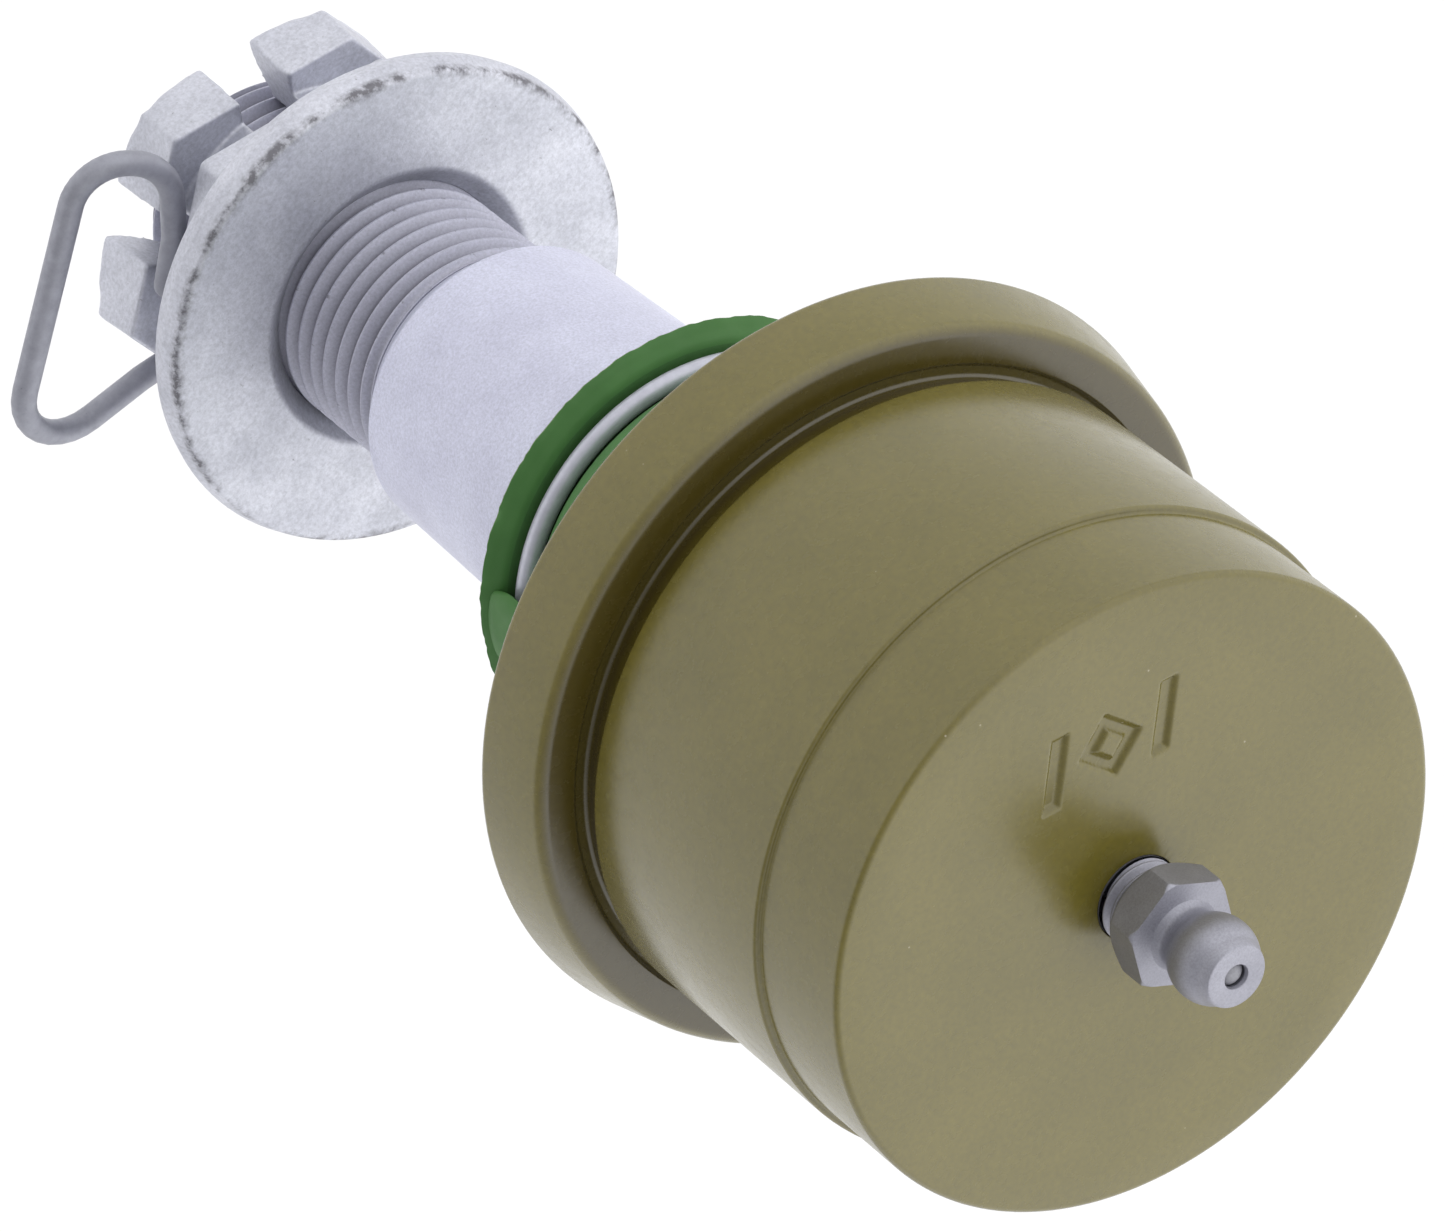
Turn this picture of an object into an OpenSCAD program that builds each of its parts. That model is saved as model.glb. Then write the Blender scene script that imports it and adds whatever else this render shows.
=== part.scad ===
// Press-in suspension ball joint with a grease fitting, a bellows boot,
// a tapered stud, a flanged castle nut and a spring cotter clip.
// The origin is the centre of the ball. +Z points to the closed end.

/* [Housing] */
// Diameter of the plain band at the closed end
end_band_d = 50; // [48:0.5:50.5]
// Diameter of the press-fit body
press_d = 51; // [51:0.1:52]
// Distance from the closed end face to the ball centre
ball_depth = 22; // [21.5:0.5:24]
// Length of the plain band at the closed end
end_band_len = 9.3; // [6:0.1:10]
// Distance from the closed end face to the flange seat
seat_depth = 31.8; // [31:0.1:33]
// Thickness of the flange
flange_t = 6.1; // [5:0.1:6.5]
// Largest diameter of the flange, at its rear edge
flange_d = 60; // [59:0.5:64]

/* [Stud] */
// Diameter of the ball
ball_d = 29; // [28.5:0.5:29]
// Diameter of the neck under the ball
neck_d = 15; // [13:0.5:15]
// Diameter of the taper at its large end, inside the boot
taper_big_d = 25.6; // [25:0.1:25.8]
// Diameter of the taper at its small end
taper_small_d = 23.7; // [23:0.1:24]
// Major diameter of the stud thread
thread_d = 20; // [19:0.5:20]
// Pitch of the stud thread
thread_pitch = 1.8; // [1.5:0.05:2]
// Distance from the ball centre to the nut's bearing face
nut_face_depth = 75; // [73:0.5:76]

/* [Castle nut] */
// Width across the flats
nut_af = 28.6; // [28:0.1:29]
// Diameter of the integral flange
nut_flange_d = 40.4; // [39:0.1:42]
// Width of each slot
slot_w = 4.7; // [4.5:0.1:5]

/* [Cotter clip] */
// Diameter of the spring wire
wire_d = 2; // [1.8:0.1:2.1]

/* [Boot] */
// Wall thickness of the boot
boot_wall = 1.6; // [1.2:0.1:1.8]
// Outer diameter of the sealing lip
lip_d = 35.1; // [34.8:0.1:36]

/* [Hidden] */
$fn = 96;
eps = 0.05;

// housing levels, measured from the ball centre
end_z = ball_depth;
band_z = end_z - end_band_len;
seat_z = end_z - seat_depth;
rear_z = seat_z - flange_t;
relief_w = 2.05;
relief_r = press_d / 2 - 0.9;
relief_drop = 0.35;
boss_r = 22;
boss_z = -21.5;
bore_r = 19;
cover_r = 20.2;
cover_t = 2.2;
cover_z = -16.4;
lip_hole_r = 17.8;
wall_inner_z = end_z - 4.4;
edge = 0.3;

// grease fitting levels
port_r = 3.2;
fit_thread_r = 3.16;
fit_hex_af = 7.94;
hex_lo_z = end_z + 2.3;
hex_hi_z = end_z + 5.5;
nose_z = end_z + 11.8;
head_r = 3.28;
nose_r = 2.4;
check_r = 1.2;
check_z = nose_z - 1.35;
chamber_r = 1.25;
orifice_r = 1;
spring_seat_z = hex_lo_z;
check_spring_r = 0.85;
check_spring_wire = 0.16;

// bearing stack
ball_r = ball_d / 2;
ball_gap = 0.05;
plate_z = 15;
plate_t = 1.2;
bearing_r = bore_r - 0.05;
lower_top_z = -0.4;
upper_low_z = 0.4;
seat_low_z = -9.5;
spring_t = 0.8;

// stud levels
ball_flat_z = 12.5;
neck_r = neck_d / 2;
neck_low_z = -16;
taper_top_z = -27;
taper_low_z = -60.4;
cone_low_z = -62.6;
thread_r = thread_d / 2;
thread_root_r = thread_r - 0.9;
relief_low_z = -64.2;
stud_low_z = -96.5;
hole_z = -91.8;
hole_r = 1.6;
end_chamfer = 1.3;

// castle nut levels
face_z = -nut_face_depth;
nut_flange_r = nut_flange_d / 2;
nut_corner_r = nut_af / 2 / cos(30);
base_low_z = face_z - 9.8;
prong_z = base_low_z - 3.7;
nut_low_z = prong_z - 5.8;
notch_r = 12.3;
nut_bore_r = thread_r + 0.04;
countersink_r = 11.4;
corner_drop = 1.4;

// boot levels
boot_top_z = -16.5;
groove_r = 20.9;
lip_z = -35.6;
ring_z = -32.9;
ring_wire_r = 0.75;
ring_r = 15.4;

// ---- shared shapes -------------------------------------------------------

// a point on an arc, for rounded profiles
function arc(cx, cy, r, from, to, steps) =
    [for (i = [0:steps]) let (t = from + (to - from) * i / steps) [cx + r * cos(t), cy + r * sin(t)]];

// sides of a thread cut as even grooves between two levels
function groove_points(crest, root, top, low, pitch) =
    let (n = floor((top - low) / pitch))
    [for (i = [0:n - 1]) let (z = top - i * pitch)
        each [[crest, z - 0.06 * pitch], [root, z - 0.44 * pitch],
              [root, z - 0.56 * pitch], [crest, z - 0.94 * pitch]]];

// a tube of round section swept along points, as one closed surface
function unit(v) = v / norm(v);
function tangent(p, i) =
    unit(p[min(i + 1, len(p) - 1)] - p[max(i - 1, 0)]);
module sweep(p, r, sides, up) {
    rings = [for (i = [0:len(p) - 1])
        let (t = tangent(p, i), a = unit(cross(t, up)), b = cross(t, a))
        [for (k = [0:sides - 1]) let (w = 360 * k / sides) p[i] + r * (cos(w) * a + sin(w) * b)]];
    last = len(p) - 1;
    polyhedron(
        points = [for (ring = rings) each ring],
        faces = concat(
            [[for (k = [0:sides - 1]) k]],
            [[for (k = [0:sides - 1]) last * sides + sides - 1 - k]],
            [for (i = [0:last - 1]) for (k = [0:sides - 1]) let (n = (k + 1) % sides)
                each [[i * sides + k, (i + 1) * sides + k, (i + 1) * sides + n],
                      [i * sides + k, (i + 1) * sides + n, i * sides + n]]]));
}

// a polyline with each inner corner rounded to its own radius
function fillet(a, c, b, r, steps) =
    let (u = unit(a - c), v = unit(b - c), half = acos(u * v) / 2,
         reach = r / tan(half), mid = c + unit(u + v) * r / sin(half),
         e1 = unit(c + u * reach - mid), n = unit(cross(e1, c + v * reach - mid)),
         e2 = cross(n, e1), turn = 180 - 2 * half)
    [for (i = [0:steps]) let (t = turn * i / steps) mid + r * (cos(t) * e1 + sin(t) * e2)];
function rounded_path(corners, radii, steps) =
    [corners[0],
     for (i = [1:len(corners) - 2])
         each fillet(corners[i - 1], corners[i], corners[i + 1], radii[i - 1], steps),
     corners[len(corners) - 1]];

// ---- housing and grease fitting -------------------------------------------

module engraved_mark() {
    // a plain diamond between two slanted bars
    bar_len = 5.4;
    bar_w = 1.1;
    lean = 1.6;
    spread = 4.6;
    for (side = [-1, 1])
        translate([side * spread, 0])
            polygon([[-bar_w / 2 - lean / 2, -bar_len / 2], [bar_w / 2 - lean / 2, -bar_len / 2],
                     [bar_w / 2 + lean / 2, bar_len / 2], [-bar_w / 2 + lean / 2, bar_len / 2]]);
    difference() {
        polygon([[-2.6, 0], [0, -2.6], [2.6, 0], [0, 2.6]]);
        polygon([[-1.2, 0], [0, -1.2], [1.2, 0], [0, 1.2]]);
    }
}

module housing() {
    mark_depth = 0.45;
    mark_r = 13.6;
    mark_angle = 236;
    press_r = press_d / 2;
    flange_r = flange_d / 2;
    front_r = flange_r - 1.3;
    round_r = 1;
    color("#86806a") difference() {
        rotate_extrude() polygon(concat(
            [[port_r, end_z], [end_band_d / 2 - 0.4, end_z], [end_band_d / 2, end_z - 0.4],
             [end_band_d / 2, band_z], [press_r - edge, band_z], [press_r, band_z - edge],
             [press_r, seat_z + relief_w + edge], [press_r - edge, seat_z + relief_w],
             [relief_r, seat_z + relief_w - 0.6], [relief_r, seat_z], [relief_r + 0.3, seat_z - relief_drop],
             [press_r, seat_z - relief_drop], [press_r + relief_drop, seat_z]],
            arc(front_r - round_r, seat_z - round_r, round_r, 90, 10, 5),
            [[flange_r, rear_z + edge], [flange_r - edge, rear_z],
             [boss_r, rear_z], [boss_r, rear_z - 0.9], [groove_r, rear_z - 1.4],
             [groove_r, rear_z - 3.4], [boss_r, rear_z - 3.9], [boss_r, boss_z + edge],
             [boss_r - edge, boss_z], [lip_hole_r + 0.6, boss_z], [lip_hole_r, boss_z + 1],
             [lip_hole_r, cover_z - 1.2], [cover_r, cover_z], [cover_r, cover_z + cover_t + 0.1],
             [bore_r, cover_z + cover_t + 0.1], [bore_r, wall_inner_z], [port_r, wall_inner_z]]));
        rotate(mark_angle) translate([mark_r, 0, end_z - mark_depth]) rotate(90)
            linear_extrude(mark_depth + 1) engraved_mark();
    }
}

module grease_fitting_body() {
    shank_low_z = wall_inner_z + 0.2;
    neck_z = hex_hi_z + 0.9;
    head_z = nose_z - 2.7;
    color("#9a9aa4") difference() {
        union() {
            rotate_extrude() polygon(concat(
                [[0, shank_low_z], [fit_thread_r - 0.5, shank_low_z], [fit_thread_r, shank_low_z + 0.5],
                 [fit_thread_r, end_z + 0.1], [2.7, end_z + 0.5], [fit_thread_r, end_z + 0.9],
                 [2.7, end_z + 1.35], [fit_thread_r, end_z + 1.8], [2.7, hex_lo_z - 0.1],
                 [2.7, hex_lo_z + 0.2], [2.9, hex_hi_z - 0.2], [2.9, hex_hi_z + 0.3], [2.35, neck_z]],
                arc(0, head_z, head_r, -32, 30, 8),
                [[nose_r, nose_z], [0, nose_z]]));
            intersection() {
                translate([0, 0, hex_lo_z])
                    cylinder(h = hex_hi_z - hex_lo_z, r = fit_hex_af / 2 / cos(30), $fn = 6);
                rotate_extrude() polygon([[0, hex_lo_z - eps], [4.1, hex_lo_z - eps], [4.7, hex_lo_z + 0.5],
                    [4.7, hex_hi_z - 0.4], [4.2, hex_hi_z + eps], [0, hex_hi_z + eps]]);
            }
        }
        rotate_extrude() polygon([[0, shank_low_z - 1], [chamber_r, shank_low_z - 1],
            [chamber_r, check_z + 0.25], [orifice_r * 0.8, check_z + 1.1], [orifice_r, nose_z + eps],
            [0, nose_z + eps]]);
    }
}

module fitting_check_ball() {
    color("#c8c8d0") translate([0, 0, check_z - 0.03]) sphere(check_r);
}

module fitting_check_spring() {
    turns = 6;
    steps = 12;
    low = spring_seat_z + 0.55;
    high = check_z - check_r - 0.1;
    color("#8c8c92") sweep(
        [for (i = [0:turns * steps]) let (t = 360 * i / steps)
            [check_spring_r * cos(t), check_spring_r * sin(t), low + (high - low) * i / (turns * steps)]],
        check_spring_wire, 6, [0, 0, 1]);
}

module fitting_spring_seat() {
    color("#8c8c92") translate([0, 0, spring_seat_z - 0.4]) difference() {
        cylinder(h = 0.7, r = chamber_r - 0.01);
        translate([0, 0, -1]) cylinder(h = 3, r = 0.6);
    }
}

// ---- bearing stack ---------------------------------------------------------

module preload_spring() {
    inner = 8;
    outer = 17.5;
    low = plate_z + plate_t + 0.02;
    high = wall_inner_z - 0.02;
    color("#6f7178") rotate_extrude() polygon([[inner, high - spring_t], [inner, high],
        [inner + 0.3, high], [outer, low + spring_t], [outer, low], [outer - 0.3, low]]);
}

module pressure_plate() {
    color("#8d8f94") translate([0, 0, plate_z]) difference() {
        cylinder(h = plate_t, r = bearing_r);
        translate([0, 0, -1]) cylinder(h = plate_t + 2, r = 2.5);
    }
}

module upper_bearing() {
    color("#77736a") difference() {
        translate([0, 0, upper_low_z]) cylinder(h = plate_z - 0.02 - upper_low_z, r = bearing_r);
        sphere(ball_r + ball_gap);
        translate([0, 0, ball_flat_z - 1]) cylinder(h = 10, r = 7);
        for (turn = [0, 90, 180, 270])
            rotate(turn) translate([ball_r + 1, 0, -1]) cylinder(h = plate_z + 2, r = 1);
    }
}

module lower_bearing() {
    low = cover_z + cover_t + 0.12;
    throat_r = sqrt(pow(ball_r, 2) - pow(seat_low_z, 2));
    color("#77736a") difference() {
        translate([0, 0, low]) cylinder(h = lower_top_z - low, r = bearing_r);
        sphere(ball_r + ball_gap);
        rotate_extrude() polygon([[0, seat_low_z + 1], [throat_r - 0.2, seat_low_z + 1],
            [throat_r - 0.2, seat_low_z], [throat_r + 3.5, low - 1], [0, low - 1]]);
    }
}

module cover_plate() {
    hole_r = 14.6;
    color("#7a7c80") rotate_extrude() polygon([[hole_r, cover_z], [cover_r - 0.05, cover_z + 0.05],
        [cover_r - 0.05, cover_z + cover_t], [hole_r, cover_z + cover_t]]);
}

// ---- boot ------------------------------------------------------------------

module boot() {
    lip_r = lip_d / 2;
    stud_gap = 0.15;
    boss_gap = 0.32;
    bulge = [[23.1, boot_top_z], [23.7, -18.3], [23.6, -20.2], [22.6, -22.6], [20.8, -25],
             [18.6, -27.3], [16.7, -29.4], [15.9, -31.2]];
    inner = [[14.8, -28.6], [16.8, -26.5], [19, -24.3], [20.8, -22.6]];
    color("#3f7a3f") rotate_extrude() polygon(concat(
        bulge,
        [[ring_r - 0.85, ring_z + 1.05], [ring_r - 0.85, ring_z - 1.05], [16.6, ring_z - 1.25],
         [lip_r, lip_z + 0.3],
         [lip_r - 0.4, lip_z], [13.6, lip_z], [12.6 + stud_gap, lip_z + 0.8],
         [12.75 + stud_gap, -30.4]],
        inner,
        [[boss_r + boss_gap, boss_z - 0.3], [boss_r + boss_gap, rear_z - 3.65],
         [groove_r + boss_gap, rear_z - 3.15], [groove_r + boss_gap, rear_z - 1.65],
         [boss_r + boss_gap, rear_z - 1.15], [boss_r + boss_gap, boot_top_z]]));
}

module wire_ring(mid_r, wire_r) {
    rotate_extrude() translate([mid_r, 0]) circle(wire_r, $fn = 32);
}

module boot_clamp_ring() {
    color("#9c9ca6") translate([0, 0, -18.4]) wire_ring(24.4, 0.55);
}

module boot_spring_ring() {
    color("#b9b9c4") translate([0, 0, ring_z]) wire_ring(ring_r, ring_wire_r);
}

// ---- stud, nut and clip ----------------------------------------------------

module ball_stud() {
    neck_round = 2;
    neck_top_z = -sqrt(pow(ball_r, 2) - pow(neck_r, 2));
    color("#cdcfe0") difference() {
        rotate_extrude() polygon(concat(
            [[0, ball_flat_z], [sqrt(pow(ball_r, 2) - pow(ball_flat_z, 2)), ball_flat_z]],
            arc(0, 0, ball_r, asin(ball_flat_z / ball_r) - 1, asin(neck_top_z / ball_r) + 1, 48),
            [[neck_r, neck_top_z - 0.5], [neck_r, neck_low_z]],
            arc(taper_big_d / 2, neck_low_z, taper_big_d / 2 - neck_r, 184, 204, 4),
            [[taper_big_d / 2 - neck_round, taper_top_z + neck_round * 1.3],
             [taper_big_d / 2, taper_top_z], [taper_small_d / 2, taper_low_z],
             [thread_r + 0.2, cone_low_z], [thread_root_r, cone_low_z - 0.5],
             [thread_root_r, relief_low_z]],
            groove_points(thread_r, thread_root_r, relief_low_z, stud_low_z + end_chamfer, thread_pitch),
            [[thread_root_r, stud_low_z + end_chamfer - 0.2], [thread_root_r - 0.8, stud_low_z],
             [0, stud_low_z]]));
        translate([-thread_r - 1, 0, hole_z]) rotate([0, 90, 0]) cylinder(h = thread_d + 2, r = hole_r);
    }
}

module castle_nut() {
    rim = 1.6;
    color("#c9cad4") difference() {
        union() {
            rotate_extrude() polygon(concat(
                [[0, face_z], [nut_flange_r - 1, face_z]],
                arc(nut_flange_r - rim, face_z - 1.7, rim, 70, -50, 8),
                [[nut_corner_r, face_z - 6.1], [nut_af / 2 - 0.3, face_z - 7.8], [0, face_z - 7.8]]));
            intersection() {
                translate([0, 0, nut_low_z]) rotate(30)
                    cylinder(h = face_z - 1 - nut_low_z, r = nut_corner_r, $fn = 6);
                rotate_extrude() polygon([[0, nut_low_z], [nut_af / 2, nut_low_z],
                    [nut_corner_r + eps, nut_low_z + corner_drop],
                    [nut_corner_r + eps, prong_z], [notch_r, prong_z],
                    [notch_r, base_low_z], [nut_corner_r + eps, base_low_z],
                    [nut_corner_r + eps, face_z - 1], [0, face_z - 1]]);
            }
        }
        translate([0, 0, nut_low_z - 1]) cylinder(h = nut_face_depth, r = nut_bore_r);
        rotate_extrude() polygon([[0, face_z + eps], [countersink_r + eps, face_z + eps],
            [nut_bore_r - eps, face_z - 1.5], [0, face_z - 1.5]]);
        // the crown's end dips towards the bore
        rotate_extrude() polygon([[0, nut_low_z - eps], [14, nut_low_z - eps], [12, nut_low_z + 0.6],
            [nut_bore_r - eps, nut_low_z + 1.7], [0, nut_low_z + 1.7]]);
        for (turn = [0, 60, 120])
            rotate(turn) translate([-nut_corner_r - 1, -slot_w / 2, nut_low_z - 1])
                cube([2 * nut_corner_r + 2, slot_w, base_low_z - nut_low_z + 0.4]);
    }
}

module cotter_clip() {
    notch_mid_z = (base_low_z + prong_z) / 2;
    // leg end, kink outside the slot and its end, lower corner, upper corners, hook
    corners = [[-15.5, 0, hole_z], [12.2, 0, hole_z], [16.6, -2.2, hole_z], [29.6, -7, hole_z - 0.1],
               [5.3, -23.1, notch_mid_z - 1.35], [2, -17.9, notch_mid_z - 0.1],
               [6.4, -12.9, notch_mid_z], [9.7, -9.9, notch_mid_z]];
    bend_r = [2, 4, 4.5, 3.3, 3.3, 2.5];
    color("#9fa2a8") sweep(rounded_path(corners, bend_r, 8), wire_d / 2, 16, [0, 0, 1]);
}

housing();
grease_fitting_body();
fitting_check_ball();
fitting_check_spring();
fitting_spring_seat();
preload_spring();
pressure_plate();
upper_bearing();
lower_bearing();
cover_plate();
boot();
boot_clamp_ring();
boot_spring_ring();
ball_stud();
castle_nut();
cotter_clip();
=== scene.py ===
"""Looks of a press-in suspension ball joint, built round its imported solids.

Lengths below are in millimetres in the part's own frame: the ball's centre is the origin and
+Z points to the closed end. mesh_object() turns them into metres.
"""
import math

import bmesh
import bpy
import numpy as np
from mathutils import Matrix, Vector, geometry, noise


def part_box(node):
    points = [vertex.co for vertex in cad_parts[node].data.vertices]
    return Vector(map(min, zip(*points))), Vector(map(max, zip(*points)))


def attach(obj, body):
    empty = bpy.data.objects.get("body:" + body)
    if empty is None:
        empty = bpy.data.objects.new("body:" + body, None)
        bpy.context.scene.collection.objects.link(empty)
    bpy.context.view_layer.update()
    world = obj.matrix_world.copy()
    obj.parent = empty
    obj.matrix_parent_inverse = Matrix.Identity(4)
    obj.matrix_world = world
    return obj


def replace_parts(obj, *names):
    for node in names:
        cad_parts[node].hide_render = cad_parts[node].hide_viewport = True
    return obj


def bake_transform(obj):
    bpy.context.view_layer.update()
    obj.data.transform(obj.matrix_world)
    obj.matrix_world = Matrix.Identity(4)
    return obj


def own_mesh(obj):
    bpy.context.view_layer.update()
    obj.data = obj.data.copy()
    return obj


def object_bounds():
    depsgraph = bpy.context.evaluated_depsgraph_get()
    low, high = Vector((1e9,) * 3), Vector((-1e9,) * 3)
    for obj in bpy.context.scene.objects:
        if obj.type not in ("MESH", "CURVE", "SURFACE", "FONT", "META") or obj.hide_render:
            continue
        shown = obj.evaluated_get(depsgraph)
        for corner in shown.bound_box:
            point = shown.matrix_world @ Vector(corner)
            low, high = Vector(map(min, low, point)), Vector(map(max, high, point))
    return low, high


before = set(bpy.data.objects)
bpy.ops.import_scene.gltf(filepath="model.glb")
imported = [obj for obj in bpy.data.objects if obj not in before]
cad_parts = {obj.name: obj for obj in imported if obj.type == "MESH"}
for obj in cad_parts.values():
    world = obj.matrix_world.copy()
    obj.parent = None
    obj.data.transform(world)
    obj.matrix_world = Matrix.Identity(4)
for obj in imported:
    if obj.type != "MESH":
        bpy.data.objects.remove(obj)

cad_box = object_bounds()
MM = 0.001
STEPS = 192          # segments round the axis on the large turned shapes


def span(node):
    """Lowest and highest height of a CAD node, in millimetres."""
    low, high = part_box(node)
    return low[2] / MM, high[2] / MM


def radius_of(node):
    """Largest half-width of a CAD node along Y, in millimetres."""
    low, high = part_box(node)
    return (high[1] - low[1]) / 2 / MM


# ---- sizes shared by several pieces ---------------------------------------------------------

BOSS_LOW, END_Z = span("housing")
FLANGE_R = radius_of("housing")
BAND_Z = END_Z - 9.3
SEAT_Z = END_Z - 31.8
REAR_Z = SEAT_Z - 6.1
BAND_R = 25.0
PRESS_R = 25.5
PORT_R = 3.2         # hole for the grease fitting
STUD_LOW, BALL_FLAT = span("ball_stud")
BALL_R = 14.5
SHANK_END = -60.4    # the taper stops here, and a cone leads down to the thread
CONE_END = -62.45
THREAD_TOP = -63.0
NUT_LOW, NUT_FACE = span("castle_nut")
NUT_R = radius_of("castle_nut")
NUT_AF = 28.6        # across the nut's flats
BASE_LOW = NUT_FACE - 9.8
PRONG_Z = BASE_LOW - 3.7
SLOT_W = 4.7
BORE_R = 10.04
THREAD_R = 10.0
THREAD_PITCH = 1.8
LIP_Z, BOOT_TOP = span("boot")
WAIST_Z = -24.0      # where the boot's two halves meet
RING_Z = sum(span("boot_spring_ring")) / 2
NOSE_Z = span("grease_fitting_body")[1]
SHELL_LOW = END_Z - 4.2   # inner end of the grease fitting
FITTING_R = 3.24     # crest of the grease fitting's thread
FITTING_AF = 7.94    # across the grease fitting's flats
HOLE_Z = -91.8       # cross hole for the clip
WIRE_R = 1.0
MERGE = 0.0004       # points closer than this become one


# ---- shape helpers --------------------------------------------------------------------------

def rounded(corners, closed=True, steps=5):
    """An outline with each corner (r, z, radius) turned into an arc that meets both sides."""
    points = []
    count = len(corners)
    for i, (x, y, radius) in enumerate(corners):
        here = Vector((x, y))
        end = not closed and i in (0, count - 1)
        if radius <= 0 or end:
            points.append(here)
            continue
        before = (Vector(corners[i - 1][:2]) - here).normalized()
        after = (Vector(corners[(i + 1) % count][:2]) - here).normalized()
        half = before.angle(after) / 2
        reach = radius / math.tan(half)
        centre = here + (before + after).normalized() * (radius / math.sin(half))
        first = (here + before * reach) - centre
        side = 1 if first.cross((here + after * reach) - centre) > 0 else -1
        turn = (math.pi - 2 * half) * side
        for k in range(steps + 1):
            points.append(centre + Matrix.Rotation(turn * k / steps, 2) @ first)
    return np.array([[p.x, p.y] for p in points])


def unit_circle(steps):
    """Angles that are spaced evenly round the axis, and the unit circle's points at them."""
    turn = np.arange(steps) * 2 * math.pi / steps
    return turn, np.stack([np.cos(turn), np.sin(turn)], 1)


def ring_rows(profile, steps=STEPS):
    """Rows of points made by turning a profile of (r, z) round the axis."""
    turn, _ = unit_circle(steps)
    profile = np.asarray(profile, float)
    return np.stack([
        profile[:, :1] * np.cos(turn),
        profile[:, :1] * np.sin(turn),
        np.repeat(profile[:, 1:2], steps, 1),
    ], 2)


def skin(rows, closed=False, shift=0):
    """Vertices and faces over rows of points that each run once round the axis.

    closed joins the last row to the first. shift is how many rows further on a row meets the
    start of another, as on a helix.
    """
    rows = np.asarray(rows, float)
    count, steps = rows.shape[:2]
    faces = []
    for j in range(count if closed else count - 1):
        for i in range(steps):
            wrap = shift if i == steps - 1 else 0
            n = (i + 1) % steps
            a, b = j * steps + i, (j + 1) % count * steps + i
            if not closed and j + 1 + wrap >= count:
                continue
            c = (j + 1 + wrap) % count * steps + n
            d = (j + wrap) % count * steps + n
            faces.append((a, b, c, d))
    return rows.reshape(-1, 3), faces


def joined(*parts):
    """Several (vertices, faces) as one."""
    verts, faces, start = [], [], 0
    for v, f in parts:
        verts.append(np.asarray(v, float))
        faces += [tuple(k + start for k in face) for face in f]
        start += len(v)
    return np.concatenate(verts), faces


def mesh_object(name, shape, material, sharp=35.0):
    """An object from (vertices in mm, faces), with shared points merged and normals outward."""
    verts, faces = shape
    mesh = bpy.data.meshes.new(name)
    mesh.from_pydata([tuple(v * MM) for v in verts], [], faces)
    bm = bmesh.new()
    bm.from_mesh(mesh)
    bmesh.ops.remove_doubles(bm, verts=bm.verts, dist=MERGE * MM)
    bmesh.ops.dissolve_degenerate(bm, edges=bm.edges, dist=MERGE * MM)
    bmesh.ops.recalc_face_normals(bm, faces=bm.faces)
    for face in bm.faces:
        face.smooth = True
    bm.to_mesh(mesh)
    bm.free()
    mesh.set_sharp_from_angle(angle=math.radians(sharp))
    obj = bpy.data.objects.new(name, mesh)
    bpy.context.scene.collection.objects.link(obj)
    mesh.materials.append(material)
    return obj


def bake_modifiers(obj, sharp=35.0):
    """The object keeps its modifiers' result as its own mesh."""
    graph = bpy.context.evaluated_depsgraph_get()
    mesh = bpy.data.meshes.new_from_object(obj.evaluated_get(graph))
    obj.modifiers.clear()
    obj.data = mesh
    for face in mesh.polygons:
        face.use_smooth = True
    mesh.set_sharp_from_angle(angle=math.radians(sharp))
    return obj


def smooth(x):
    """Eases 0 to 1, flat at both ends."""
    x = np.clip(x, 0, 1)
    return x * x * (3 - 2 * x)


def hex_radius(turn, across, corner_at, crisp):
    """Distance from the axis to a hexagon that has a corner at corner_at degrees.

    The higher crisp is, the sharper the corners are.
    """
    flats = np.radians(corner_at + 30 + 60 * np.arange(6))
    reach = np.maximum(np.cos(np.asarray(turn)[:, None] - flats), 1e-6) ** crisp
    return across / 2 * reach.sum(1) ** (-1 / crisp)


def soft_max(a, b, blend):
    """The larger of two heights, with a fillet about blend wide where they cross."""
    near = np.maximum(blend - np.abs(a - b), 0) / blend
    return np.maximum(a, b) + near ** 2 * blend / 4


def remeshed(obj, voxel, passes):
    """One even skin over the object, its edges softened a little, kept as its own mesh."""
    skin_over = obj.modifiers.new("even_skin", "REMESH")
    skin_over.mode = "VOXEL"
    skin_over.voxel_size = voxel * MM
    skin_over.use_smooth_shade = True
    soften = obj.modifiers.new("soften", "SMOOTH")
    soften.factor = 0.5
    soften.iterations = passes
    return bake_modifiers(obj, 180)


def thread_rows(top, low, crest, root, pitch, steps, fade_top, chamfer):
    """Rows that follow a helix between two levels, and how many rows make one turn.

    fade_top is how far the groove takes to reach its depth, and chamfer how deep the far end's
    crest is turned down.
    """
    per_turn = 24
    flat, flank = 0.1, 0.78      # shares of half a pitch in the root's flat and in the flank
    total = int((top - low) / pitch * per_turn) + per_turn * 2
    turn = np.arange(steps) / steps
    level = np.arange(-per_turn, total)[:, None] / per_turn + turn[None, :]
    z = np.clip(top - level * pitch, low, top)
    phase = ((top - z) / pitch - turn[None, :]) % 1
    profile = np.clip((np.abs(phase - 0.5) * 2 - flat) / flank, 0, 1)
    depth = (crest - root) * (1 - profile) * smooth((top - z) / max(fade_top, 1e-6))
    r = crest - depth
    r = np.minimum(r, crest - chamfer + np.clip((z - low) * 1.2, 0, chamfer))
    angle = turn * 2 * math.pi
    return np.stack([r * np.cos(angle), r * np.sin(angle), z], 2), per_turn


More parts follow.
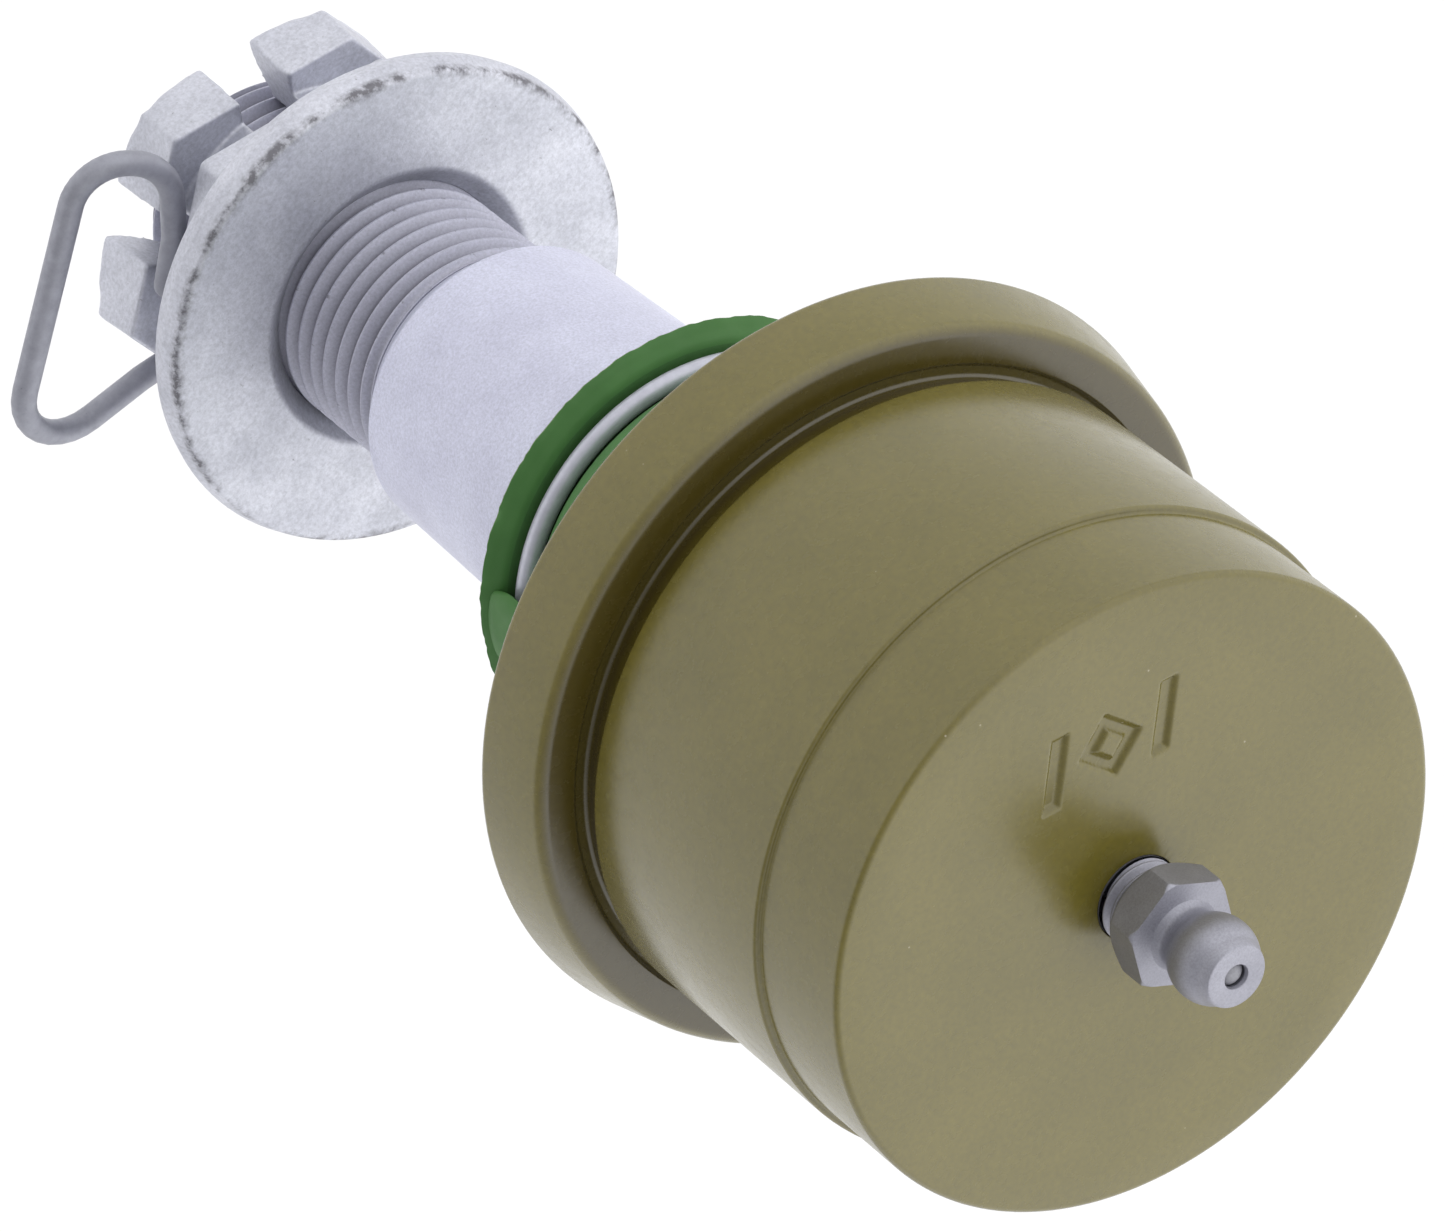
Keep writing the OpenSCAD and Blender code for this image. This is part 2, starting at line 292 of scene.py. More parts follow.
def swept_tube(path, radius, sides=20):
    """A round tube along points, with domed ends."""
    path = np.asarray(path, float)
    tangent = np.gradient(path, axis=0)
    tangent /= np.linalg.norm(tangent, axis=1)[:, None]
    side = np.cross(tangent[0], (0, 0, 1.0))
    side /= np.linalg.norm(side)
    rows = []
    angle = np.arange(sides) * 2 * math.pi / sides
    tip = 0.02                   # angle left open at each dome's pole
    for i, (point, along) in enumerate(zip(path, tangent)):
        side = side - along * side.dot(along)
        side /= np.linalg.norm(side)
        other = np.cross(along, side)
        around = np.cos(angle)[:, None] * side + np.sin(angle)[:, None] * other
        if i == 0:
            rows += [point - along * radius * math.cos(d) + around * radius * math.sin(d)
                     for d in np.linspace(tip, math.pi / 2, 6)[:-1]]
        rows.append(point + around * radius)
        if i == len(path) - 1:
            rows += [point + along * radius * math.sin(d) + around * radius * math.cos(d)
                     for d in np.append(np.linspace(0, math.pi / 2, 6)[1:-1], math.pi / 2 - tip)]
    verts, faces = skin(rows)
    faces.append(tuple(range(sides))[::-1])
    faces.append(tuple(range(len(verts) - sides, len(verts))))
    return verts, faces


def bent_path(corners, radii, steps=10):
    """A polyline with its inner corners rounded, as points not much over a wire's width apart."""
    corners = [Vector(c) for c in corners]
    points = [corners[0]]
    for i, radius in enumerate(radii, start=1):
        here = corners[i]
        before = (corners[i - 1] - here).normalized()
        after = (corners[i + 1] - here).normalized()
        half = before.angle(after) / 2
        reach = radius / math.tan(half)
        centre = here + (before + after).normalized() * (radius / math.sin(half))
        first = here + before * reach - centre
        axis = first.cross(here + after * reach - centre)
        for k in range(steps + 1):
            turn = Matrix.Rotation((math.pi - 2 * half) * k / steps, 3, axis)
            points.append(centre + turn @ first)
    points.append(corners[-1])
    dense = []
    for a, b in zip(points, points[1:]):
        pieces = max(1, int((b - a).length / 1.2))
        dense += [a + (b - a) * k / pieces for k in range(pieces)]
    dense.append(points[-1])
    return [tuple(p) for p in dense]


# ---- materials ------------------------------------------------------------------------------

class Nodes:
    """Short ways to add shader nodes to one material."""

    def __init__(self, name):
        self.material = bpy.data.materials.new(name)
        self.material.use_nodes = True
        self.tree = self.material.node_tree
        self.shader = self.tree.nodes["Principled BSDF"]
        self.place = self.add("ShaderNodeTexCoord").outputs["Object"]

    def add(self, kind, **values):
        node = self.tree.nodes.new(kind)
        for key, value in values.items():
            setattr(node, key, value)
        return node

    def link(self, output, socket):
        self.tree.links.new(output, socket)

    def set(self, **values):
        """Constants on the shader's own sockets."""
        for key, value in values.items():
            self.shader.inputs[key.replace("_", " ")].default_value = value

    def noise(self, size_mm, detail=3.0, rough=0.55, stretch=(1, 1, 1)):
        """A noise from 0 to 1 whose patches are about size_mm across."""
        mapped = self.add("ShaderNodeMapping")
        mapped.inputs["Scale"].default_value = stretch
        self.link(self.place, mapped.inputs["Vector"])
        node = self.add("ShaderNodeTexNoise")
        node.inputs["Scale"].default_value = 1 / (size_mm * MM)
        node.inputs["Detail"].default_value = detail
        node.inputs["Roughness"].default_value = rough
        self.link(mapped.outputs["Vector"], node.inputs["Vector"])
        return node.outputs["Fac"]

    def ramp(self, value, *stops):
        """A colour ramp with (position, value or colour) stops."""
        node = self.add("ShaderNodeValToRGB")
        elements = node.color_ramp.elements
        while len(elements) < len(stops):
            elements.new(0.5)
        for element, (position, colour) in zip(elements, stops):
            element.position = position
            grey = isinstance(colour, (int, float))
            element.color = (colour, colour, colour, 1) if grey else (*colour, 1)
        self.link(value, node.inputs["Fac"])
        return node.outputs["Color"]

    def mix(self, factor, first, second, blend="MIX"):
        """Mixes two colours, each a socket or a plain colour."""
        node = self.add("ShaderNodeMix", data_type="RGBA", blend_type=blend)
        if isinstance(factor, bpy.types.NodeSocket):
            self.link(factor, node.inputs[0])
        else:
            node.inputs[0].default_value = factor
        for socket, value in ((node.inputs[6], first), (node.inputs[7], second)):
            if isinstance(value, bpy.types.NodeSocket):
                self.link(value, socket)
            else:
                socket.default_value = (*value, 1)
        return node.outputs[2]

    def math(self, operation, first, second=0.0):
        node = self.add("ShaderNodeMath", operation=operation)
        for socket, value in zip(node.inputs, (first, second)):
            if isinstance(value, bpy.types.NodeSocket):
                self.link(value, socket)
            else:
                socket.default_value = value
        return node.outputs[0]

    def specks(self, spacing_mm, size, share):
        """1 on small round spots in a share of the cells, 0 elsewhere."""
        cells = self.add("ShaderNodeTexVoronoi")
        cells.inputs["Scale"].default_value = 1 / (spacing_mm * MM)
        self.link(self.place, cells.inputs["Vector"])
        spot = self.math("LESS_THAN", cells.outputs["Distance"], size)
        parts = self.add("ShaderNodeSeparateColor")
        self.link(cells.outputs["Color"], parts.inputs["Color"])
        chosen = self.math("LESS_THAN", parts.outputs[0], share)
        return self.math("MULTIPLY", spot, chosen)

    def radius_mm(self):
        """Distance from the part's axis, in mm."""
        parts = self.add("ShaderNodeSeparateXYZ")
        self.link(self.place, parts.inputs[0])
        x2 = self.math("MULTIPLY", parts.outputs[0], parts.outputs[0])
        y2 = self.math("MULTIPLY", parts.outputs[1], parts.outputs[1])
        return self.math("MULTIPLY", self.math("SQRT", self.math("ADD", x2, y2)), 1000.0)

    def height_mm(self):
        """Height in the part's frame, in mm."""
        parts = self.add("ShaderNodeSeparateXYZ")
        self.link(self.place, parts.inputs[0])
        return self.math("MULTIPLY", parts.outputs[2], 1000.0)

    def band(self, value, centre, half):
        """1 at centre, easing to 0 at half away from it."""
        away = self.math("ABSOLUTE", self.math("SUBTRACT", value, centre))
        fade = self.math("SUBTRACT", 1.0, self.math("DIVIDE", away, half))
        return self.math("MAXIMUM", fade, 0.0)

    def bump(self, height, depth_mm, strength=1.0, under=None):
        node = self.add("ShaderNodeBump")
        node.inputs["Distance"].default_value = depth_mm * MM
        node.inputs["Strength"].default_value = strength
        self.link(height, node.inputs["Height"])
        if under is not None:
            self.link(under, node.inputs["Normal"])
        return node.outputs["Normal"]

    def finish(self, colour=None, roughness=None, normal=None):
        for name, output in (("Base Color", colour), ("Roughness", roughness), ("Normal", normal)):
            if output is not None:
                self.link(output, self.shader.inputs[name])
        return self.material


def olive_paint():
    """Semi-gloss olive paint: mottling, orange peel, pale specks, and painted shade in the corner
    where the flange's seat meets the body.
    """
    n = Nodes("olive_paint")
    patches = n.ramp(
        n.noise(8, 4), (0.35, (0.140, 0.116, 0.0155)), (0.65, (0.158, 0.130, 0.0185)))
    fine = n.ramp(n.noise(0.45, 3), (0.3, 0.88), (0.7, 1.08))
    colour = n.mix(1.0, patches, fine, "MULTIPLY")
    colour = n.mix(n.specks(1.9, 0.04, 0.12), colour, (0.40, 0.36, 0.24))
    # painted shade: a dark band over the flange's seat, its relief groove and the foot of the body,
    # kept off the rim
    corner = n.band(n.height_mm(), SEAT_Z + 0.3, 2.2)
    off_rim = n.ramp(n.math("DIVIDE", n.radius_mm(), FLANGE_R), (0.935, 0.85), (0.962, 0.0))
    colour = n.mix(n.math("MULTIPLY", corner, off_rim), colour, (0.040, 0.026, 0.004))
    rough = n.ramp(n.noise(1.2, 3), (0.3, 0.22), (0.7, 0.30))
    peel = n.bump(n.noise(1.1, 2), 0.02, 0.5)
    grain = n.bump(n.noise(0.2, 2), 0.005, 0.5, peel)
    n.set(Metallic=0.0, IOR=1.5, Specular_IOR_Level=0.76, Coat_Weight=0.2, Coat_Roughness=0.22)
    return n.finish(colour, rough, grain)


def plated(name, low, high, grain_mm, rough, depth_mm, metal, scuff_and_shade=None):
    """Matte plating: a sandy grain with soft patches. The optional mask function darkens the colour:
    dark scuffs on the nut, and painted shade with worn flecks on the stud's thread.
    """
    n = Nodes(name)
    patches = n.ramp(n.noise(7, 4), (0.35, low), (0.65, high))
    fine = n.ramp(n.noise(grain_mm, 3, 0.7), (0.32, 0.84), (0.68, 1.1))
    colour = n.mix(1.0, patches, fine, "MULTIPLY")
    if scuff_and_shade is not None:
        # dark where the mask says: wear, and on the stud also painted shade
        colour = n.mix(scuff_and_shade(n), colour, (0.13, 0.125, 0.14))
    worn = n.ramp(n.noise(2.5, 3), (0.3, rough - 0.05), (0.7, rough + 0.07))
    sand = n.bump(n.noise(grain_mm, 3, 0.7), depth_mm, 0.8)
    n.set(Metallic=metal)
    return n.finish(colour, worn, sand)


def rim_scuffs(n):
    """A worn grey line along the flange's front edge, and small dark nicks over the nut."""
    front = n.band(n.height_mm(), NUT_FACE - 0.25, 0.75)
    rim = n.math("MULTIPLY", front, n.band(n.radius_mm(), NUT_R - 0.5, 0.9))
    worn = n.math("MULTIPLY", n.ramp(n.noise(5, 5, 0.75), (0.4, 0.0), (0.62, 1.0)),
                  n.ramp(n.noise(0.6, 4, 0.7), (0.35, 0.25), (0.6, 1.0)))
    on_rim = n.ramp(n.math("MULTIPLY", rim, worn), (0.06, 0.0), (0.5, 0.85))
    nicks = n.ramp(n.noise(0.6, 4, 0.7, (1, 0.6, 1)), (0.67, 0.0), (0.73, 0.6))
    return n.math("MAXIMUM", on_rim, nicks)


def thread_wear_and_shade(n):
    """Painted shade over the thread, deepest in its roots, dark worn flecks on its crests, and a
    darker band round the cone above it.
    """
    radius = n.radius_mm()
    # painted shade: the thread darkened, most in its roots and less towards the crests
    roots = n.ramp(
        n.math("DIVIDE", radius, THREAD_R), (0.905, 0.92), (0.935, 0.55), (0.995, 0.35))
    chips = n.ramp(n.noise(0.8, 4, 0.7, (1, 1, 0.4)), (0.56, 0.0), (0.66, 0.75))
    crests = n.math("MULTIPLY", n.band(radius, THREAD_R, 0.3), chips)
    below = n.math("LESS_THAN", n.height_mm(), THREAD_TOP + 0.4)
    # painted root shade and worn crest flecks together, from the thread's top down
    worn = n.math("MULTIPLY", n.math("MAXIMUM", roots, crests), below)
    cone = n.math("MULTIPLY", n.band(n.height_mm(), CONE_END + 0.75, 1.2), 0.28)
    return n.math("MAXIMUM", worn, cone)


def green_rubber():
    """Green boot rubber: a faint bloom, painted shade in the spring ring's groove and a pale
    moulding edge on the lip.
    """
    n = Nodes("boot_rubber")
    colour = n.ramp(n.noise(4, 4), (0.3, (0.060, 0.172, 0.044)), (0.7, (0.076, 0.205, 0.056)))
    # painted shade: the groove under the spring ring darkened nearly to black
    groove = n.math("MULTIPLY", n.band(n.height_mm(), RING_Z, 1.35),
                    n.math("LESS_THAN", n.radius_mm(), 16.2))
    shade = n.math("MINIMUM", n.math("MULTIPLY", groove, 1.6), 0.9)
    colour = n.mix(shade, colour, (0.006, 0.014, 0.006))
    flash = n.math("MULTIPLY", n.band(n.height_mm(), LIP_Z, 0.25),
                   n.math("GREATER_THAN", n.radius_mm(), 17.2))
    colour = n.mix(n.math("MULTIPLY", flash, 0.7), colour, (0.22, 0.26, 0.07))
    rough = n.ramp(n.noise(1.5, 3), (0.3, 0.5), (0.7, 0.64))
    skin_bump = n.bump(n.noise(0.35, 2), 0.01, 0.6)
    n.set(Metallic=0.0, IOR=1.5, Specular_IOR_Level=0.32)
    return n.finish(colour, rough, skin_bump)


def drawn_wire(name, low, high, rough):
    """Drawn spring wire: fine streaks and small dark marks."""
    n = Nodes(name)
    streaks = n.ramp(n.noise(1.4, 4, 0.7), (0.3, low), (0.7, high))
    marks = n.ramp(n.noise(0.5, 4, 0.7), (0.68, 0.0), (0.76, 0.4))
    colour = n.mix(marks, streaks, (0.08, 0.08, 0.08))
    worn = n.ramp(n.noise(0.5, 3), (0.3, rough - 0.05), (0.7, rough + 0.1))
    n.set(Metallic=0.45)
    return n.finish(colour, worn, n.bump(n.noise(0.3, 3), 0.008, 0.5))


def sintered():
    """Dark sintered bearing metal, with pores."""
    n = Nodes("sintered_bearing")
    colour = n.ramp(n.noise(0.8, 4, 0.7), (0.3, (0.10, 0.09, 0.08)), (0.7, (0.20, 0.18, 0.16)))
    n.set(Metallic=0.6)
    rough = n.ramp(n.noise(0.5, 3), (0.3, 0.5), (0.7, 0.7))
    return n.finish(colour, rough, n.bump(n.noise(0.3, 3), 0.02, 0.6))


PAINT = olive_paint()
FITTING = plated("zinc_steel", (0.31, 0.31, 0.355), (0.39, 0.39, 0.445),
                 grain_mm=0.16, rough=0.45, depth_mm=0.008, metal=0.65)
STUD = plated("stud_plating", (0.63, 0.635, 0.77), (0.70, 0.71, 0.85),
              grain_mm=0.22, rough=0.5, depth_mm=0.006, metal=0.35, scuff_and_shade=thread_wear_and_shade)
NUT = plated("nut_flake", (0.56, 0.57, 0.635), (0.68, 0.69, 0.76),
             grain_mm=0.34, rough=0.5, depth_mm=0.024, metal=0.65, scuff_and_shade=rim_scuffs)
INNER = plated("inner_steel", (0.26, 0.26, 0.27), (0.34, 0.34, 0.35),
               grain_mm=0.2, rough=0.35, depth_mm=0.005, metal=0.9)
BRIGHT = plated("bright_steel", (0.28, 0.28, 0.31), (0.36, 0.36, 0.39),
                grain_mm=0.2, rough=0.62, depth_mm=0.004, metal=0.35)
RUBBER = green_rubber()
CLIP = drawn_wire("clip_wire", (0.30, 0.305, 0.35), (0.38, 0.385, 0.44), 0.48)
RING = drawn_wire("ring_wire", (0.52, 0.52, 0.60), (0.62, 0.62, 0.71), 0.4)
SPRING = drawn_wire("spring_steel", (0.20, 0.20, 0.21), (0.28, 0.28, 0.30), 0.4)
BEARING = sintered()


# ---- housing --------------------------------------------------------------------------------

def outline_distance(points, outline):
    """Signed distance from points to a closed outline, negative inside."""
    best = np.full(len(points), 1e9)
    inside = np.zeros(len(points), bool)
    for a, b in zip(outline, np.roll(outline, -1, 0)):
        edge, reach = b - a, points - a
        t = np.clip((reach @ edge) / (edge @ edge), 0, 1)
        best = np.minimum(best, np.linalg.norm(reach - t[:, None] * edge, axis=1))
        crosses = (a[1] > points[:, 1]) != (b[1] > points[:, 1])
        with np.errstate(divide="ignore", invalid="ignore"):
            at = a[0] + (points[:, 1] - a[1]) * edge[0] / edge[1]
        inside ^= crosses & (points[:, 0] < at)
    return np.where(inside, -best, best)


def heading(degrees):
    """The unit direction at an angle from +X."""
    return np.array([math.cos(math.radians(degrees)), math.sin(math.radians(degrees))])


MARK_CENTRE = 13.6 * heading(236)
MARK_ALONG = heading(326)
MARK_ACROSS = np.array([-MARK_ALONG[1], MARK_ALONG[0]])
MARK_DEPTH = 0.42


def on_mark(points):
    """Places on the end face, measured along and across the mark from its centre."""
    away = points - MARK_CENTRE
    return np.stack([away @ MARK_ALONG, away @ MARK_ACROSS], 1)


def mark_depth(points):
    """Depth of the engraved mark, a diamond between two slanted bars, at points of the end face."""
    local = on_mark(points)
    distance = np.full(len(points), 1e9)
    for side in (-4.6, 4.6):
        bar = np.array([[-1.5, -2.7], [-0.2, -2.7], [1.5, 2.7], [0.2, 2.7]]) + [side, 0]
        distance = np.minimum(distance, outline_distance(local, bar))
    diamond = np.array([[-1.0, 0], [0, -1.0], [1.0, 0], [0, 1.0]])
    ring = np.maximum(
        outline_distance(local, diamond * 2.6), -outline_distance(local, diamond * 1.2))
    distance = np.minimum(distance, ring)
    return MARK_DEPTH * smooth((0.2 - distance) / 0.5)


def end_face(inner, outer, z):
    """The flat end face between two rings, with the mark pressed into it.

    A fine grid of points covers the mark, and sparse rings cover the rest.
    """
    _, circle = unit_circle(STEPS)
    u, v = np.meshgrid(np.arange(-6.9, 6.95, 0.13), np.arange(-3.7, 3.75, 0.13))
    fine = MARK_CENTRE + u.reshape(-1, 1) * MARK_ALONG + v.reshape(-1, 1) * MARK_ACROSS
    between = [circle * r for r in np.linspace(inner, outer, 9)[1:-1]]
    coarse = np.concatenate(between)[::4]
    local = np.abs(on_mark(coarse))
    coarse = coarse[(local[:, 0] > 7.6) | (local[:, 1] > 4.4)]
    points = np.concatenate([circle * outer, circle * inner, fine, coarse])
    edges = [(i + base, (i + 1) % STEPS + base) for base in (0, STEPS) for i in range(STEPS)]
    flat, _, faces, *_ = geometry.delaunay_2d_cdt(
        [Vector(p) for p in points], edges, [], 0, 1e-6)
    flat = np.array([[p.x, p.y] for p in flat])
    keep = [f for f in faces if np.linalg.norm(flat[list(f)].mean(0)) > inner * 0.999]
    verts = np.column_stack([flat, z - mark_depth(flat)])
    return verts, [tuple(f) for f in keep]


def housing():
    outline = rounded([
        (BAND_R, END_Z, 0.5), (BAND_R, BAND_Z, 0.22), (PRESS_R, BAND_Z, 0.3),
        (PRESS_R, SEAT_Z + 2.05, 0.28), (24.6, SEAT_Z + 1.45, 0.35), (24.6, SEAT_Z - 0.35, 0.4),
        (25.5, SEAT_Z - 0.35, 0.15), (25.85, SEAT_Z, 0.15), (FLANGE_R - 1.3, SEAT_Z, 1.0),
        (FLANGE_R, REAR_Z, 0.5), (22, REAR_Z, 0.15), (22, -17.3, 0.12), (20.9, -17.3, 0.12),
        (20.9, -19.3, 0.12), (22, -19.3, 0.12), (22, BOSS_LOW, 0.25), (17.8, BOSS_LOW, 0.8),
        (17.8, -17.6, 0.2), (20.2, -16.4, 0.1), (20.2, -14.1, 0.1), (19, -14.1, 0.1),
        (19, END_Z - 4.4, 0.6), (PORT_R, END_Z - 4.4, 0.1), (3.3, END_Z, 0.06)])
    # the outline starts on the end face's outer arc and ends on its inner one
    body = skin(ring_rows(outline))
    outer, inner = outline[0][0], outline[-1][0]
    obj = mesh_object("housing_shell", joined(body, end_face(inner, outer, END_Z)), PAINT, 40)
    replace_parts(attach(obj, "housing"), "housing")


# ---- grease fitting -------------------------------------------------------------------------

def grease_fitting():
    steps = 180
    turn, circle = unit_circle(steps)
    hexagon = hex_radius(turn, FITTING_AF, 0, 160)
    hex_lo, hex_hi = END_Z + 2.3, END_Z + 5.5
    head_r, head_z = 3.28, NOSE_Z - 2.7

    def row(radius, z):
        return np.column_stack([circle * radius, np.full(steps, z)])

    def hex_row(cap, z):
        """The hexagon at one height, its corners cut to a cap radius."""
        r = -soft_max(-hexagon, -cap, 0.12)
        return np.column_stack([circle * r[:, None], np.full(steps, z)])

    shank = [row(1.25, SHELL_LOW), row(2.7, SHELL_LOW), row(3.16, END_Z - 3.7),
             row(FITTING_R, END_Z + 0.05)]
    thread, per_turn = thread_rows(
        hex_lo - 0.1, END_Z + 0.05, FITTING_R, 2.8, 0.907, steps, 0.3, 0.0)
    body = [row(2.9, hex_lo - 0.1), row(3.1, hex_lo)]
    body += [hex_row(3.85 + 0.75 * h, hex_lo + 0.75 * h) for h in np.linspace(0, 1, 9)]
    body += [hex_row(9, z) for z in (hex_lo + 0.9, (hex_lo + hex_hi) / 2, hex_hi - 0.42)]
    body += [hex_row(4.3 + 0.32 * h, hex_hi - 0.3 * h) for h in np.linspace(1, 0, 7)]
    body += [row(3.1, hex_hi + 0.02), row(2.75, hex_hi + 0.12), row(2.45, hex_hi + 0.5),
             row(2.38, hex_hi + 0.95)]
    body += [row(head_r * math.cos(b), head_z + head_r * math.sin(b))
             for b in np.radians(np.linspace(-38, 34, 14))]
    nose = rounded([(2.68, NOSE_Z - 0.75, 0), (2.4, NOSE_Z, 0.16), (0.98, NOSE_Z, 0.08),
                    (0.9, NOSE_Z - 0.3, 0.08), (1.25, NOSE_Z - 1.3, 0.1), (1.25, SHELL_LOW, 0)],
                   closed=False, steps=4)
    body += [row(r, z) for r, z in nose]
    shape = joined(skin(shank), skin(thread, shift=per_turn), skin(body))
    obj = mesh_object("grease_fitting_shell", shape, FITTING, 32)
    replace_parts(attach(obj, "housing"), "grease_fitting_body")


# ---- boot -----------------------------------------------------------------------------------

def boot_profile():
    """Outer and inner profile of the boot from its large end to the lip, as (r, z)."""
    outer = [(22.7, BOOT_TOP), (23.2, -16.8), (23.65, -18.3), (23.6, -20.2), (23.0, -22.2),
             (21.9, WAIST_Z), (20.0, -26.0), (18.1, -27.9), (16.9, -29.3), (16.2, -30.5),
             (15.7, -31.3), (14.9, -31.6), (14.5, -32.1), (14.5, RING_Z), (14.5, -33.7),
             (14.9, -34.0), (16.3, -34.05), (16.65, -34.2), (16.95, -34.6),
             (17.62, LIP_Z + 0.35), (17.68, LIP_Z + 0.1), (17.5, LIP_Z)]
    inner = [(22.4, -16.7), (22.35, -17.2), (21.3, -17.7), (21.3, -19.0), (22.4, -19.5),
             (20.9, WAIST_Z), (18.7, -25.9), (16.7, -27.7), (15.2, -29.0), (13.8, -30.0),
             (12.98, -31.0), (12.9, -33.0), (12.82, LIP_Z + 1), (13.4, LIP_Z)]
    return np.array(outer), np.array(inner)


def dense(profile, step=0.35):
    """The same profile with points about step apart."""
    profile = np.asarray(profile, float)
    length = np.concatenate([[0], np.cumsum(np.linalg.norm(np.diff(profile, axis=0), axis=1))])
    at = np.linspace(0, length[-1], int(length[-1] / step) + 2)
    return np.column_stack([np.interp(at, length, profile[:, k]) for k in (0, 1)])


def lip_tab():
    """A moulded tab that hangs over the spring ring on one side, as vertices and faces."""
    count, layers = 41, 17
    middle_r = 16.95
    u, v = np.meshgrid(np.linspace(-1, 1, count), np.linspace(-1, 1, layers))
    squeeze = np.sqrt(1 - 0.35 * u ** 2), np.sqrt(1 - 0.35 * v ** 2)
    azimuth = np.radians(-40 + 11.5 * u * squeeze[1])
    z = -32.2 + 3.0 * v * squeeze[0]
    thick = np.sqrt(np.clip(1 - np.maximum(np.abs(u), np.abs(v)) ** 6, 0, 1))
    shells = []
    for r in (middle_r + 0.55 * thick, middle_r - 0.5 * thick):
        shells.append(np.stack([r * np.cos(azimuth), r * np.sin(azimuth), z], 2).reshape(-1, 3))
    faces = []
    for base in (0, count * layers):
        for j in range(layers - 1):
            for i in range(count - 1):
                a = base + j * count + i
                faces.append((a, a + 1, a + 1 + count, a + count))
    return np.concatenate(shells), faces


def boot():
    outer, inner = boot_profile()
    waist = 5            # place of the waist in both profiles
    upper_loop = np.concatenate([dense(outer[:waist + 1]), dense(inner[:waist + 1][::-1])])
    lower_loop = np.concatenate([dense(outer[waist:]), dense(inner[waist:][::-1])])
    for name, loop, ends in (("boot_root", upper_loop, ("housing", "boot_waist")),
                             ("boot_neck", lower_loop, ("boot_waist", "boot_collar"))):
        verts, faces = skin(ring_rows(loop, 256), closed=True)
        shape = ragged_lip(verts), faces
        if name == "boot_neck":
            shape = joined(shape, lip_tab())
        obj = mesh_object(name, shape, RUBBER, 60)
        if ends[0] == "housing":
            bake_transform(obj)
        else:
            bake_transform(obj)
        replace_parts(obj, "boot")


def ragged_lip(verts):
    """The same points with the lip's moulded edge made a little uneven."""
    def uneven(turn, waves, layer):
        return noise.noise(Vector((math.cos(turn) * waves, math.sin(turn) * waves, layer)))

    verts = verts.copy()
    r = np.hypot(verts[:, 0], verts[:, 1])
    turn = np.arctan2(verts[:, 1], verts[:, 0])
    edge = smooth((r - 16.9) / 0.4) * smooth((LIP_Z + 0.7 - verts[:, 2]) / 0.4)
    ragged = np.array([uneven(t, 8, 4.0) * 0.12 + uneven(t, 34, 1.0) * 0.11 for t in turn])
    grow = 1 + edge * np.clip(ragged, -0.2, 0.16) / np.maximum(r, 1)
    verts[:, :2] *= grow[:, None]
    return verts


# ---- stud -----------------------------------------------------------------------------------

def stud():
    steps = 160
    flat_r = math.sqrt(BALL_R ** 2 - BALL_FLAT ** 2)
    ball = [(BALL_R * math.cos(t), BALL_R * math.sin(t))
            for t in np.radians(np.linspace(58.5, -58.0, 60))]
    neck = rounded([(7.5, -12.6, 0), (7.5, -16.0, 3.0), (8.4, -19.5, 5.0), (10.8, -24.4, 3.0),
                    (12.8, -27.0, 1.2), (11.85, SHANK_END, 0.3), (10.35, CONE_END, 0.25),
                    (9.35, THREAD_TOP, 0)], closed=False, steps=6)
    top = np.concatenate([[(0, BALL_FLAT), (flat_r - 0.3, BALL_FLAT)], ball, neck])
    thread, per_turn = thread_rows(
        THREAD_TOP, STUD_LOW, THREAD_R, 9.05, THREAD_PITCH, steps, 1.2, 0.85)
    head = ring_rows(top, steps)
    foot = ring_rows([(9.15, STUD_LOW), (8.7, STUD_LOW), (0, STUD_LOW)], steps)
    start = ring_rows([(9.35, THREAD_TOP), (THREAD_R, THREAD_TOP)], steps)
    shape = joined(skin(head), skin(thread, shift=per_turn), skin(foot), skin(start))
    obj = mesh_object("ball_stud_turned", shape, STUD, 32)
    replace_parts(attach(obj, "stud"), "ball_stud")


# ---- nut ------------------------------------------------------------------------------------

def nut_base():
    """The nut's flange and lower hexagon, as rows round the axis."""
    steps = 360
    turn, circle = unit_circle(steps)
    hexagon = hex_radius(turn, NUT_AF, 30, 120)
    skirt_r = 18.6       # where the flange's underside turns down to the hexagon
    corner_r = NUT_AF / 2 / math.cos(math.pi / 6)
    edge_r = 0.35        # rounding of the hexagon's lower edge

    def row(radius, z):
        r = np.broadcast_to(radius, (steps,))
        return np.column_stack([circle * r[:, None], np.full(steps, z)])

    rim = rounded([(BORE_R, NUT_FACE - 1.4, 0), (11.5, NUT_FACE, 0.9), (NUT_R - 0.5, NUT_FACE, 0.55),
                   (NUT_R, NUT_FACE - 1.7, 1.0), (NUT_R - 0.35, NUT_FACE - 3.1, 0.7),
                   (skirt_r, NUT_FACE - 4.2, 0.0)], closed=False, steps=7)
    rows = [row(r, z) for r, z in rim]
    for drop in np.arange(4.35, 8.4, 0.11):
        slope = np.interp(drop, [4.2, 6.1, 8.4], [skirt_r, corner_r, corner_r - 3.2])
        rows.append(row(soft_max(hexagon, slope, 0.3), NUT_FACE - drop))
    rows += [row(hexagon - edge_r * (1 - math.cos(a)), BASE_LOW + edge_r * (1 - math.sin(a)))
             for a in np.linspace(0, math.pi / 2, 5)]
    rows += [row(BORE_R, BASE_LOW), row(BORE_R, NUT_FACE - 1.4)]
    return skin(rows)


